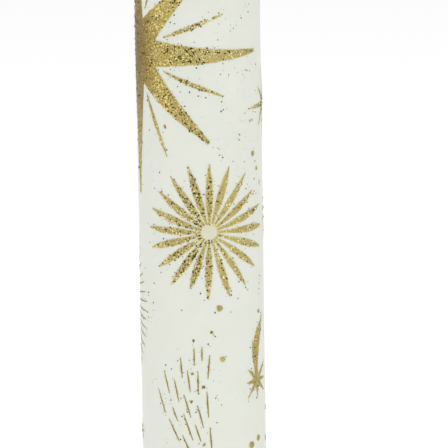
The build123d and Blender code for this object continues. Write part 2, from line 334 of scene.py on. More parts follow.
# Pressed core: duller, with the grain of pressed wax beads
def coreMaterial(look):
    material, tree, shader = newMaterial("pressedWax", Roughness=0.6, Subsurface_Weight=look["subsurface"],
                                         Subsurface_Scale=look["depth"], Subsurface_Radius=look["radius"])
    beads = pattern(tree, grainGroup, Cells=900.0, Relief=0.35)
    cloud = pattern(tree, mottleGroup, Broad=140.0, Fine=1100.0, Fine_Share=0.5)["Value"]
    wire(rampOf(tree, cloud, [(0.3, look["coreShade"]), (0.7, look["coreLight"])]), shader, "Base Color")
    wire(beads["Normal"], shader, "Normal")
    return material


# The piece's dull and warm attributes tint a gold colour: dull gold with painted shade, and painted light
def tinted(tree, colour):
    node = addNode(tree, "ShaderNodeGroup", node_tree=tintGroup)
    wire(colour, node, "Color")
    for name in ("dull", "warm"):
        wire(attribute(tree, name), node, name.capitalize())
    return node.outputs["Color"]


# Size layer: gold powder set in size, then clear size with no powder, yellow where it starts and
# paler outwards
def sizeMaterial(look):
    material, tree, shader = newMaterial("goldSize", Roughness=0.5)
    grain = pattern(tree, grainGroup, Cells=3600.0, Relief=0.6)
    powder = rampOf(tree, grain["Tone"], [(0.0, look["deep"]), (0.22, look["mid"]), (0.75, look["mid"]),
                                          (1.0, look["bright"])])
    rim = attribute(tree, "rim")
    film = rampOf(tree, rim, [(0.2, look["filmNear"]), (1.0, look["filmFar"])])
    bare = rampOf(tree, rim, [(0.06, 0), (0.26, 1)])
    mix = addNode(tree, "ShaderNodeMix", data_type="RGBA")
    wire(bare, mix, 0)
    wire(tinted(tree, powder), mix, 6)
    wire(film, mix, 7)
    wire(mix.outputs[2], shader, "Base Color")
    wire(rampOf(tree, bare, [(0.0, 0.75), (1.0, 0.0)]), shader, "Metallic")
    wire(grain["Normal"], shader, "Normal")
    return material


# Flakes: metallised film, a tone for each flake; black and bright tones are painted dark reflections and
# painted glints
def flakeMaterial(look):
    material, tree, shader = newMaterial("glitterFlake", Metallic=1.0)
    foil = rampOf(tree, attribute(tree, "tone"),
                  [(0.0, look["black"]), (0.12, look["black"]), (0.3, look["deep"]),
                   (0.46, look["mid"]), (0.62, look["mid"]), (1.0, look["bright"])])
    grain = pattern(tree, grainGroup, Cells=9000.0, Relief=0.15)
    wire(tinted(tree, foil), shader, "Base Color")
    wire(rampOf(tree, grain["Tone"], [(0.0, 0.14), (1.0, 0.3)]), shader, "Roughness")
    wire(grain["Normal"], shader, "Normal")
    return material


# Wick: waxed cotton, faintly mottled
def wickMaterial():
    material, tree, shader = newMaterial("waxedCotton", Roughness=0.62, Subsurface_Weight=0.15,
                                         Subsurface_Scale=0.0006)
    fibre = pattern(tree, mottleGroup, Broad=900.0, Fine=6000.0, Fine_Share=0.6)["Value"]
    wire(rampOf(tree, fibre, [(0.3, (0.66, 0.62, 0.52)), (0.7, (0.86, 0.84, 0.76))]), shader, "Base Color")
    addBump(tree, fibre, shader, 0.6, 0.0001)
    return material


# Tinplate: bright rolled tin with fine scuffs
def tinMaterial():
    material, tree, shader = newMaterial("tinplate", Metallic=1.0)
    scuff = pattern(tree, mottleGroup, Broad=300.0, Fine=3500.0, Fine_Share=0.5)["Value"]
    wire(rampOf(tree, scuff, [(0.3, (0.56, 0.56, 0.55)), (0.7, (0.74, 0.74, 0.72))]), shader, "Base Color")
    wire(rampOf(tree, scuff, [(0.3, 0.22), (0.7, 0.42)]), shader, "Roughness")
    return material


waxCoatFinish = overdipMaterial(waxLook)
pressedFinish = coreMaterial(waxLook)
sizeFinish = sizeMaterial(goldLook)
flakeFinish = flakeMaterial(goldLook)
wickFinish = wickMaterial()
tinFinish = tinMaterial()
print("materials ready")


def dress(piece, material, replaced=()):
    piece.data.materials.append(material)
    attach(piece, "root")
    if replaced:
        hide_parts(*replaced)
    return piece


# ---- overdip ----

coatShape = {
    "shoulder": 3.5,
    "footEdge": 0.8,
    "rimLand": 2.5,
    "dish": 0.8,
    "boreRadius": 1.25,
    "meniscus": 0.5,  # height that the wax climbs up the wick
    "meniscusReach": 0.45,
    "ripple": 0.03,
    "rippleFade": 6.0,  # length over which the ripple dies out at the foot and the shoulder
    "segments": 192,
    "wallSteps": 130,
}


# Slow unevenness of the dipped wall: a few long waves, in mm
def coatWave(angle, z):
    turns = 0.5 * np.sin(2 * angle + 0.7 + 0.011 * z) + 0.5 * np.sin(3 * angle - 1.1 - 0.017 * z)
    return coatShape["ripple"] * (turns + 0.6 * np.sin(0.09 * z + 2 * np.sin(angle)))


# Profile of the coat, up the wall, round the shoulder, across the hollow top to the wick, and back
# down the inside to the foot
def coatProfile(shape):
    shoulder, edge, fade = shape["shoulder"], shape["footEdge"], shape["rippleFade"]
    wallTop = candleHeight - shoulder
    foot = np.linspace(0, np.pi / 2, 6)
    footArc = [(wallRadius - edge + edge * np.sin(a), edge - edge * np.cos(a), 0) for a in foot]
    wall = [(wallRadius, z, min(1, (z - edge) / fade, (wallTop - z) / fade + 0.15))
            for z in np.linspace(edge, wallTop, shape["wallSteps"])[1:]]
    turn = np.linspace(0, np.pi / 2, 12)[1:]
    corner = wallRadius - shoulder
    shoulderArc = [(corner + shoulder * np.cos(a), wallTop + shoulder * np.sin(a), 0) for a in turn]
    dishRadius = corner - shape["rimLand"]
    sphere = (dishRadius**2 + shape["dish"]**2) / (2 * shape["dish"])
    inward = np.linspace(dishRadius, shape["boreRadius"] + 0.02, 26)
    floor = candleHeight - shape["dish"] + sphere - np.sqrt(sphere**2 - inward**2)
    climb = shape["meniscus"] * np.exp(-(inward - shape["boreRadius"]) / shape["meniscusReach"])
    top = [(r, z, 0) for r, z in zip(inward, floor + climb)]
    bore = [(shape["boreRadius"], z, 0) for z in np.linspace(top[-1][1] - 0.1, coreTop, 4)]
    coreShoulder = shoulder - (wallRadius - coreRadius)
    insideTurn = np.linspace(np.pi / 2, 0, 7)
    inside = [(coreRadius - coreShoulder + coreShoulder * np.cos(a),
               coreTop - coreShoulder + coreShoulder * np.sin(a), 0) for a in insideTurn]
    down = [(coreRadius, z, 0) for z in np.linspace(coreTop - coreShoulder, 0, 12)[1:]]
    return footArc + wall + shoulderArc + top + bore + inside + down


coat = lathe("overdip_shell", coatProfile(coatShape), coatShape["segments"], coatWave)
dress(coat, waxCoatFinish, ["overdip_coat"])
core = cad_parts["wax_core"].data
core.materials.clear()
core.materials.append(pressedFinish)
print("wax body ready")


# ---- wick ----

wickShape = {
    "strands": 8,
    "strandRadius": 0.42,
    "strandWide": 1.25,  # its section's half width and half thickness, as shares of its radius
    "strandThick": 0.85,
    "braidRadius": 0.78,
    "pitch": 9.0,  # height of one full turn of a strand
    "weaveDepth": 0.1,
    "straightStub": 5.0,
    "bentEnd": 8.0,
    "bend": 22.0,  # degrees
    "cutSpread": 1.05,  # how much fatter a strand is at the cut end
    "cutLength": 0.8,
    "capOut": 0.12,  # how far a strand's closed ends stand out
    "capShare": 0.5,
    "step": 0.6,
}


# Centreline: straight up, then an arc of the bend's angle leaning to +X. Gives points and tangents
# by the length along the wick
def wickLine(length, shape, straight):
    radius = shape["bentEnd"] / math.radians(shape["bend"])
    turn = np.clip(length - straight, 0, None) / radius
    x = radius * (1 - np.cos(turn))
    z = wickLow.z / mm + np.minimum(length, straight) + radius * np.sin(turn)
    points = np.stack([x, np.zeros_like(x), z], -1)
    tangents = np.stack([np.sin(turn), np.zeros_like(x), np.cos(turn)], -1)
    return points, tangents


# Round braid: half of the strands wind each way round the centreline, and each rides alternately
# over and under the others
def makeWick(shape):
    surface = candleHeight - coatShape["dish"]
    straight = surface + shape["straightStub"] - wickLow.z / mm
    total = straight + shape["bentEnd"]
    s = np.arange(0, total, shape["step"])
    s = np.append(s, total)
    centre, tangent = wickLine(s, shape, straight)
    side = np.stack([tangent[:, 2], np.zeros(len(s)), -tangent[:, 0]], -1)
    front = np.cross(tangent, side)
    # Each strand is a tube of eight-point rings, its two ends closed by three quads across a small ring
    ring = (np.arange(8) / 8 * 2 * np.pi)[None, :, None]
    wide, thick = shape["strandWide"] * np.cos(ring), shape["strandThick"] * np.sin(ring)
    rings = len(s) + 2
    cap = np.array([[0, 1, 2, 7], [7, 2, 3, 6], [6, 3, 4, 5]])
    strandFaces = np.concatenate([gridFaces(rings, 8, False, True)[:, ::-1], cap,
                                  cap[:, ::-1] + (rings - 1) * 8])
    allPoints, allFaces = [], []
    for k in range(shape["strands"]):
        way = 1 if k % 2 else -1
        phase = 2 * np.pi * (k // 2) / (shape["strands"] / 2)
        angle = way * 2 * np.pi * s / shape["pitch"] + phase
        over = shape["weaveDepth"] * np.sin(shape["strands"] / 2 * angle + (0 if way > 0 else np.pi))
        outward = side * np.cos(angle)[:, None] + front * np.sin(angle)[:, None]
        middle = centre + outward * (shape["braidRadius"] + over)[:, None]
        along = np.gradient(middle, axis=0)
        along /= np.linalg.norm(along, axis=1)[:, None]
        across = np.cross(along, outward)
        across /= np.linalg.norm(across, axis=1)[:, None]
        up = np.cross(across, along)
        fat = shape["strandRadius"] * np.where(s > total - shape["cutLength"], shape["cutSpread"], 1.0)
        section = fat[:, None, None] * (across[:, None] * wide + up[:, None] * thick)
        ends = np.array([[-1], [1]]) * along[[0, -1]] * shape["capOut"]
        caps = (middle[[0, -1]] + ends)[:, None] + section[[0, -1]] * shape["capShare"]
        tube = np.concatenate([caps[:1], middle[:, None] + section, caps[1:]])
        allPoints.append(tube.reshape(-1, 3))
        allFaces.append(strandFaces + k * rings * 8)
    return makePiece("braided_wick", np.concatenate(allPoints), np.concatenate(allFaces))


wick = makeWick(wickShape)
dress(wick, wickFinish, ["wick"])
print("wick ready")

# ---- sustainer ----

sustainerShape = {
    "edge": 0.1,
    "ridgeRadius": 6.2,
    "ridgeHeight": 0.12,
    "ridgeWidth": 0.45,
    "neckRadius": 1.6,
    "fillet": 0.5,
    "lip": 0.1,
    "crimps": 4,
    "crimp": 0.16,
    "crimpDrop": 1.6,  # from the neck's top to the middle of the crimps
    "crimpHeight": 0.5,
    "centre": 0.05,  # radius of the pinhole left at the middle of the disc
    "segments": 96,
}


# Disc and neck: the profile runs out along the underside, round the rim, in along the top, up the
# neck and down its inside; four crimps press the neck in near its top
def makeSustainer(shape):
    low, discTop = sustainerLow.z / mm, wickLow.z / mm
    top, rim = sustainerHigh.z / mm, sustainerHigh.x / mm
    bore, neck, fillet = coatShape["boreRadius"], shape["neckRadius"], shape["fillet"]
    flat = rim - shape["edge"]

    def ridge(r):
        return shape["ridgeHeight"] * np.exp(-((r - shape["ridgeRadius"]) / shape["ridgeWidth"]) ** 2)

    def crimps(angle, z):
        near = np.exp(-((z - (top - shape["crimpDrop"])) / shape["crimpHeight"]) ** 2)
        return -shape["crimp"] * near * np.clip(np.cos(shape["crimps"] * angle), 0, 1) ** 3

    under = [(r, low + ridge(r)) for r in np.linspace(shape["centre"], flat, 30)]
    edge = [(rim, low + shape["edge"]), (rim, discTop - shape["edge"])]
    over = [(r, discTop + ridge(r)) for r in np.linspace(flat, neck + fillet, 24)]
    bend = [(neck + fillet * (1 - np.sin(a)), discTop + fillet * (1 - np.cos(a)))
            for a in np.linspace(0, np.pi / 2, 6)[1:]]
    rise = [(neck, z) for z in np.linspace(discTop + fillet, top - 0.05, 12)[1:]]
    lip = [(neck - shape["lip"], top), (bore + 0.05, top)]
    inner = [(bore, z) for z in np.linspace(top - shape["lip"], discTop, 10)] + [(shape["centre"], discTop)]
    profile = np.array(under + edge + over + bend + rise + lip + inner)
    onNeck = (profile[:, 0] < neck + 0.2) & (profile[:, 0] > bore - 0.2)
    profile = np.column_stack([profile, onNeck])
    return lathe("stamped_sustainer", profile, shape["segments"], crimps)


sustainer = makeSustainer(sustainerShape)
dress(sustainer, tinFinish, ["wick_sustainer"])
print("sustainer ready")

# ---- transfers: each motif is a field over its own flat sheet, below zero where there is gold ----


# Point on the wall: distance round u, height z and lift above the wax, all in mm
def onWall(u, z, lift):
    angle = u / wallRadius
    r = wallRadius + coatWave(angle, z) + lift
    return np.stack([r * np.sin(angle), -r * np.cos(angle), z], -1)


# Distance round the wall and height, in mm, of a place in the artwork: u = angle wallRadius,
# z = height artScale
def unroll(angle, height):
    return np.radians(angle) * wallRadius, height * artScale


# A bump of height 1 at the middle angle, repeated on the far side of the wall: exp(-(a - middle)^2
# / 2 spread^2), all in degrees
def zone(u, middle, spread):
    away = (np.degrees(u / wallRadius) - middle + 90) % 180 - 90
    return np.exp(-0.5 * (away / spread) ** 2)


# Distances along and across the nearest of count equal arms, and that arm's number
def foldToArm(x, y, count, turn=0.0, jitter=None):
    step = 2 * np.pi / count
    angle = np.arctan2(y, x) - math.radians(turn)
    arm = np.round(angle / step).astype(int) % count
    local = (angle - arm * step + np.pi) % (2 * np.pi) - np.pi
    if jitter is not None:
        local = local - np.radians(jitter[arm])
    r = np.hypot(x, y)
    return r * np.cos(local), r * np.sin(local), arm


# Tapered blade: |across| less the half width at that distance along, closed at both ends
def bladeField(along, across, stations):
    places, widths = np.array(stations).T
    return np.maximum(np.abs(across) - np.interp(along, places, widths),
                      np.maximum(along - places[-1], places[0] - along))


# Stroke through (x, y, half width) stations: the least over its spans of the distance to the span
# less the width there
def strokeField(x, y, stations):
    best = np.full(x.shape, 1e9)
    for (x0, y0, w0), (x1, y1, w1) in zip(stations[:-1], stations[1:]):
        dx, dy = x1 - x0, y1 - y0
        t = np.clip(((x - x0) * dx + (y - y0) * dy) / (dx * dx + dy * dy), 0, 1)
        best = np.minimum(best, np.hypot(x - x0 - t * dx, y - y0 - t * dy) - (w0 + t * (w1 - w0)))
    return best


# Takes round bites out of a field, as where the transfer has flaked
def nicked(field, x, y, nicks):
    for nx, ny, size in nicks:
        field = np.maximum(field, size - np.hypot(x - nx, y - ny))
    return field


greatStar = {
    "place": (-72.5, 223.8),
    "armLeans": [-0.5, 0.0, 0.0, 0.0, 0.0, 0.0, 0.0, 0.0],  # degrees off the even spacing
    "rayLeans": [-1.3, 0.0, 0.0, 0.0, 0.0, 0.0, 1.2, 0.4],
    "arm": 58.8,
    "diagonalArm": 50.0,
    "valley": 14.0,
    "tipHalfWidth": 0.6,
    "raySpan": (18.5, 45.0),
    "rayHalfWidth": 0.8,
    "rayNicks": [(36.6, 14.6, 1.0), (28.4, -11.0, 0.35)],
    "heart": (10.0, 22.0),  # width and height of its darker heart, which is painted shade
}


def greatStarField(x, y):
    knee = greatStar["valley"] * math.cos(math.pi / 8)
    knuckle = greatStar["valley"] * math.sin(math.pi / 8)
    along, across, arm = foldToArm(x, y, 8, 0, np.array(greatStar["armLeans"]))
    tip = np.where(arm % 2, greatStar["diagonalArm"], greatStar["arm"])
    share = np.clip((along - knee) / (tip - knee), 0, 1)
    width = knuckle + (greatStar["tipHalfWidth"] - knuckle) * share ** 0.93
    width = np.where(along < knee, 99, width)
    return np.maximum(np.abs(across) - width, along - tip)


def greatRayField(x, y):
    start, end = greatStar["raySpan"]
    along, across, _ = foldToArm(x, y, 8, 22.5, np.array(greatStar["rayLeans"]))
    share = [(0.0, 0.15), (0.25, 0.75), (0.5, 1.0), (0.8, 0.6), (1.0, 0.15)]
    stations = [(start + t * (end - start), w * greatStar["rayHalfWidth"]) for t, w in share]
    return nicked(bladeField(along, across, stations), x, y, greatStar["rayNicks"])


sunburst = {
    "places": {"front": (7.7, 152.0, 1.0, -1.0), "back": (115.0, 153.5, 0.55, 4.0)},
    "hub": 3.3,
    "tips": [28.0, 28.2, 25.6, 27.6, 27.4, 27.6, 28.0, 27.2, 26.4, 26.6,  # anticlockwise from the right
             27.0, 26.8, 26.2, 27.0, 24.2, 27.4, 28.0, 28.0, 27.4, 28.2],
    "widths": [1.03, 1.03, 0.98, 0.97, 1.03, 1.02, 1.05, 1.03, 1.03, 1.02,
               0.95, 0.98, 1.0, 1.02, 1.02, 1.0, 0.98, 0.92, 0.94, 1.0],
    "bellies": [1.0, 0.85, 0.9, 0.8, 0.85, 0.75, 0.75, 0.75, 0.8, 0.85,  # below 1, widest nearer the hub
                0.8, 0.9, 0.85, 0.8, 1.0, 0.8, 1.0, 0.9, 0.95, 1.05],
    "rootHalfWidth": 0.36,
    "halfWidth": 1.4,
    "nicks": [(0.2, -22.9, 0.45), (-0.6, -22.7, 0.4), (26.8, 6.9, 0.5)],
}


def sunburstField(x, y, turn=0.0):
    reach = np.array(sunburst["tips"])
    lean = np.random.default_rng(5).normal(0, 0.35, len(reach))
    along, across, arm = foldToArm(x, y, len(reach), turn, lean)
    t = (along - sunburst["hub"]) / (reach[arm] - sunburst["hub"])
    belly = np.clip(t, 0, None) ** np.array(sunburst["bellies"])[arm]
    extra = sunburst["halfWidth"] * np.array(sunburst["widths"])[arm] - sunburst["rootHalfWidth"]
    share = np.interp(belly, [0, 0.2, 0.38, 0.56, 0.8, 1], [0, 0.18, 0.7, 1, 0.7, -0.2])
    width = sunburst["rootHalfWidth"] + extra * share
    field = np.maximum(np.abs(across) - width, np.maximum(t - 1, -t) * 20)
    return nicked(field, x, y, sunburst["nicks"])


rayBurst = {
    "places": {"left": (-149.0, 117.3, 1.0), "top": (60.0, 267.0, 0.5)},
    "rays": 60,
    "span": (24.0, 38.5),
    "halfWidth": 0.28,
}


def rayBurstField(x, y):
    count = rayBurst["rays"]
    rng = np.random.default_rng(8)
    along, across, arm = foldToArm(x, y, count, 0, rng.normal(0, 0.35, count))
    start = rayBurst["span"][0] + rng.uniform(-1, 2.5, count)[arm]
    end = rayBurst["span"][1] + rng.uniform(-1.6, 0.2, count)[arm]
    t = (along - start) / (end - start)
    width = rayBurst["halfWidth"] * np.interp(t, [0, 0.4, 0.75, 1], [0.5, 1, 1, 0.4])
    return np.maximum(np.abs(across) - width, np.maximum(t - 1, -t) * 10)


comet = {
    "places": {"right": (59.6, 88.2), "back": (138.0, 246.0)},
    "body": 2.2,
    "rays": [(40, 9.8), (-3, 8.0), (-39, 8.9), (-86, 7.0), (-132, 8.5), (-177, 6.3), (137, 7.4), (93, 4.0)],
    "mainTail": [(0.0, 1.5, 1.2), (-0.5, 5.7, 1.3), (-0.4, 9.5, 1.75), (0.0, 13.8, 2.1), (0.8, 17.2, 2.3),
                 (2.1, 20.0, 2.1), (3.9, 22.8, 0.8), (5.2, 26.0, 0.2)],
    "sideTail": [(-1.2, 5.0, 0.5), (-2.0, 9.5, 0.8), (-2.4, 13.5, 0.75), (-2.6, 16.6, 0.2)],
}


def cometField(x, y):
    field = np.hypot(x, y) - comet["body"]
    for angle, length in comet["rays"]:
        c, s = math.cos(math.radians(angle)), math.sin(math.radians(angle))
        field = np.minimum(field, strokeField(x, y, [(0, 0, 1.4), (c * 2.6, s * 2.6, 0.95),
                                                     (c * length, s * length, 0.14)]))
    field = np.minimum(field, strokeField(x, y, comet["mainTail"]))
    return np.minimum(field, strokeField(x, y, comet["sideTail"]))


# Eight-pointed star of long and short rays with a narrow waist; size is the length of a long ray
def pointedStarField(x, y, look, size):
    along, across, arm = foldToArm(x, y, 8)
    tip = size * np.where(arm % 2, look["shortShare"], 1.0)
    knee = size * look["waistShare"] * math.cos(math.pi / 8)
    knuckle = size * look["waistShare"] * math.sin(math.pi / 8)
    width = knuckle * np.clip(1 - (along - knee) / (tip - knee), 0, 1) ** 0.9
    return np.maximum(np.abs(across) - np.where(along < knee, 99, width) + 0.04, along - tip)


fallingStar = {
    "places": {"front": (12.0, 36.0, 1.0), "back": (-165.0, 36.0, 0.6)},
    "radius": 8.0,
    "shortShare": 0.65,
    "waistShare": 0.27,
    "streakHalfWidth": 0.34,
    "streaks": [
        ((-25.3, 50.3), (-21.8, 41.0)), ((-22.0, 58.2), (-19.6, 49.3)), ((-17.2, 55.0), (-15.4, 46.3)),
        ((-20.0, 38.5), (-15.6, 30.0)), ((-18.3, 43.5), (-16.1, 38.2)), ((-14.4, 64.3), (-13.7, 56.3)),
        ((-11.6, 59.0), (-10.5, 50.5)), ((-13.1, 49.0), (-10.5, 40.0)), ((-13.3, 40.8), (-9.8, 30.5)),
        ((-14.0, 32.3), (-10.2, 23.5)), ((-8.7, 68.5), (-8.7, 61.5)), ((-5.5, 69.0), (-5.6, 63.5)),
        ((-7.3, 58.5), (-7.3, 49.6)), ((-7.6, 44.7), (-5.4, 35.8)), ((-8.7, 36.8), (-6.5, 30.0)),
        ((-2.5, 65.5), (-3.3, 56.0)), ((-3.8, 50.5), (-3.3, 40.0)), ((-2.8, 35.5), (-2.0, 24.5)),
        ((-5.0, 22.0), (-3.6, 14.0)), ((-9.0, 18.5), (-6.0, 12.0)), ((0.4, 20.0), (0.3, 12.0)),
    ],
}


def fallingStarField(x, y):
    return pointedStarField(x, y, fallingStar, fallingStar["radius"])


def streakField(x, y):
    field = np.full(x.shape, 1e9)
    w = fallingStar["streakHalfWidth"]
    for (x0, y0), (x1, y1) in fallingStar["streaks"]:
        middle = ((x0 + x1) / 2, (y0 + y1) / 2, w)
        field = np.minimum(field, strokeField(x, y, [(x0, y0, w * 0.5), middle, (x1, y1, w * 0.5)]))
    return field


sparkle = {
    "places": {"right": (88.0, 200.0, 15.5), "back": (-140.0, 172.0, 8.0)},
    "shortShare": 0.72,
    "waistShare": 0.2,
}

smallStars = {
    "places": [(-85.0, 66.0, 5.8), (10.0, 283.0, 5.0), (-42.0, 28.0, 6.5), (76.0, 36.0, 5.5),
               (112.0, 88.0, 6.5), (-178.0, 196.0, 6.0), (104.0, 236.0, 5.5), (140.0, 52.0, 5.0)],
    "shortShare": 0.62,
    "waistShare": 0.24,
}

dots = {
    "dull": 0.35,
    "places": [(16.5, 120.6, 1.2), (58.0, 181.5, 1.1), (62.0, 178.0, 0.4), (64.5, 175.0, 0.8),
               (60.0, 171.0, 0.4), (72.0, 169.0, 0.45), (57.5, 165.0, 0.4), (61.0, 63.9, 1.2),
               (50.0, 61.8, 1.5), (64.4, 116.2, 0.8), (83.7, 74.4, 1.2), (82.1, 61.7, 1.1),
               (54.0, 195.3, 0.45), (57.5, 195.2, 0.45), (-100.0, 166.0, 1.1), (-62.0, 44.0, 0.9),
               (150.0, 190.0, 1.2), (-165.0, 250.0, 1.0), (-30.0, 289.0, 1.0), (35.0, 24.0, 1.1),
               (115.0, 50.0, 1.0), (-33.0, 194.7, 0.6)],
    # (x, y, radius, dullness) of those among the front streaks, from the falling star's centre
    "amongStreaks": [(2.9, 63.6, 1.1, 0.1), (-1.5, 75.0, 0.6, 1.0), (-8.9, 71.8, 0.5, 1.0),
                     (-9.5, 58.0, 0.5, 0.8), (-5.1, 52.5, 0.7, 0.9), (-10.1, 46.4, 0.5, 1.0),
                     (-5.2, 28.7, 0.5, 0.8)],
}

transferLook = {
    "thickness": 0.11,
    "sunk": 0.02,  # how far the underside sits in the wax
    "shoulder": 0.22,  # width of the rounded edge
    "filmLift": 0.035,
    "raggedWave": 1.1,
    "borderShare": 0.2,  # height of the outermost points, as a share of the film's
    "slideLimit": 0.8,  # how far a border point may slide, as a share of the grid's step
    "powderMargin": 0.06,  # where the powder starts to thin out, inside the gold's edge
}

# What can differ from motif to motif
plainFinish = {
    "film": 0.3,  # width of clear size showing round the gold
    "disc": 0.0,  # radius of a disc of clear size at the middle
    "ragged": 0.13,  # unevenness of the edge
    "dull": 0.0,
    "warm": 0.0,
    "cover": 0.72,  # share of the spots that hold a flake
    "flake": 1.0,  # size of the flakes
    "accents": 1.0,  # how many of them stand out, bright or dark
}

# Narrow strokes: an even edge and few flakes
thinFinish = {"film": 0.15, "ragged": 0.04, "dull": 0.8, "cover": 0.3, "flake": 0.75, "accents": 0.5}


# The solid patch of one motif. A square grid over the motif keeps the cells whose middle is gold;
# points on the border slide to the field's zero line. The top rises from the border to the
# thickness, the underside copies every point, and a quad closes each edge that no other cell
# shares. The patch reaches past the gold by the width of the clear film, and over any disc of clear
# film at its middle
def patchArrays(field, place, reach, step, seed, scale, finish):
    look = transferLook
    film = finish["film"]
    size = scale * artScale
    nx, ny = int(2 * reach[0] / step) + 1, int(2 * reach[1] / step) + 1
    x, y = np.meshgrid((np.arange(nx) - (nx - 1) / 2) * step, (np.arange(ny) - (ny - 1) / 2) * step)

    def edge(px, py):
        coarse = waves(px, py, look["raggedWave"], seed)
        rough = coarse + 0.5 * waves(px, py, look["raggedWave"] * 0.4, seed + 1)
        return field(px / size, py / size) * size + finish["ragged"] * rough * min(1, size)

    gold = edge(x, y)
    f = np.minimum(gold - film * min(1, size), np.hypot(x, y) - finish["disc"] * size)
    middle = (f[:-1, :-1] + f[1:, :-1] + f[:-1, 1:] + f[1:, 1:]) / 4
    keep = middle < 0
    # Cells that meet only at a corner are joined through one of their neighbours
    for row in (slice(None), slice(None, None, -1)):
        part = keep[:, row]
        part[:-1, 1:] |= part[:-1, :-1] & part[1:, 1:] & ~part[1:, :-1]
    cells = gridFaces(ny, nx).reshape(ny - 1, nx - 1, 4)
    kept = cells[keep]
    uses = np.bincount(kept.ravel(), minlength=nx * ny)
    gy, gx = np.gradient(f, step)
    steep = gx**2 + gy**2 + 0.05  # never zero
    border = ((uses > 0) & (uses < 4)).reshape(ny, nx)
    limit = look["slideLimit"] * step
    slide = np.clip(f / steep, -limit, limit) * border
    x = x - slide * gx
    y = y - slide * gy
    depth = np.clip(-gold / look["shoulder"], 0, 1)
    lift = np.maximum(look["thickness"] * np.sqrt(1 - (1 - depth) ** 2), look["filmLift"])
    lift = np.where(border, look["borderShare"] * look["filmLift"], lift)
    used = np.flatnonzero(uses)
    number = np.full(nx * ny, -1)
    number[used] = np.arange(len(used))
    u, z = unroll(*place[:2])
    u, z = u + x.ravel()[used], z + y.ravel()[used]
    points = np.concatenate([onWall(u, z, lift.ravel()[used]), onWall(u, z, -look["sunk"])])
    over = number[kept]
    start, end = over.ravel(), np.roll(over, -1, 1).ravel()
    bare = ~np.isin(start * nx * ny + end, end * nx * ny + start)
    start, end = start[bare], end[bare]
    sides = np.stack([end, start, start + len(used), end + len(used)], -1)
    faces = np.concatenate([over, over[:, ::-1] + len(used), sides])
    margin = look["powderMargin"]
    rim = np.clip((gold.ravel()[used] + margin) / (film + margin), 0, 1)
    return points, faces, np.tile(rim, 2), edge


# The great star's darker heart, painted shade: exp(-(across / its width)^2 / 2 - (up / its height)^2 / 2),
# in mm from the star's centre
def shadedStarHeart(u, z):
    width, height = greatStar["heart"]
    u0, z0 = unroll(*greatStar["place"])
    return np.exp(-0.5 * (((u - u0) / width) ** 2 + ((z - z0) / height) ** 2))


# How dull and how warm the gold is: the motif's own share, the painted shade of the great star's heart, and
# a zone of the wall with painted light
def addTints(piece, u, z, dull, warm):
    # Dull: each motif's own dull share plus the painted shade of the great star's heart
    addAttribute(piece, "dull", np.clip(shadedStarHeart(u, z) + dull, 0, 1))
    # Warm: painted light, brighter and warmer gold round -42 degrees where light falls, by each motif's
    # share
    addAttribute(piece, "warm", warm * zone(u, -42, 20))


# Joins several patches into one piece
def joinPatches(name, patches, finish):
    base, points, faces, rims, dulls = 0, [], [], [], []
    for (p, f, r, _), dull in zip(patches, np.resize(finish["dull"], len(patches))):
        points.append(p)
        faces.append(f + base)
        rims.append(r)
        dulls.append(np.full(len(p), dull))
        base += len(p)
    piece = makePiece(name, np.concatenate(points), np.concatenate(faces))
    addAttribute(piece, "rim", np.concatenate(rims))
    x, y, z = np.concatenate(points).T
    addTints(piece, np.arctan2(x, -y) * wallRadius, z, np.concatenate(dulls), finish["warm"])
    return piece


flakeLook = {
    "size": (0.34, 0.52),  # across the corners, mm
    "spacing": 0.42,
    "tilt": (6.0, 18.0),  # degrees, one standard deviation, for plain flakes and for accents
    "dome": 0.018,
    "overhang": 0.3,
    "strayShare": 0.1,
    "strayShareDark": 0.15,  # added where the painted dark reflections are
    "strayZone": (-6, 15),
    "plainTones": (0.16, 0.75),  # flakes darker or brighter than these are accents: painted dark reflections and painted glints
    "accent": 1.5,  # how much larger the accents are
    "accentLift": 0.05,
}

# How the flakes' tones change round the wall, all painted light: (amount, angle, spread) of each zone.
# Bright adds painted glints, dark adds painted dark reflections, calm evens the tones where the wall reads
# evenly lit
paintedLightBands = {
    "calm": [(-0.4, 26, 12)],
    "bright": [(0.3, -41, 9), (0.12, 45, 12)],
    "dark": [(0.17, -6, 13)],
}


# start + the sum of amount times zone
def withBands(start, bands, u):
    for amount, middle, spread in bands:
        start = start + amount * zone(u, middle, spread)
    return start


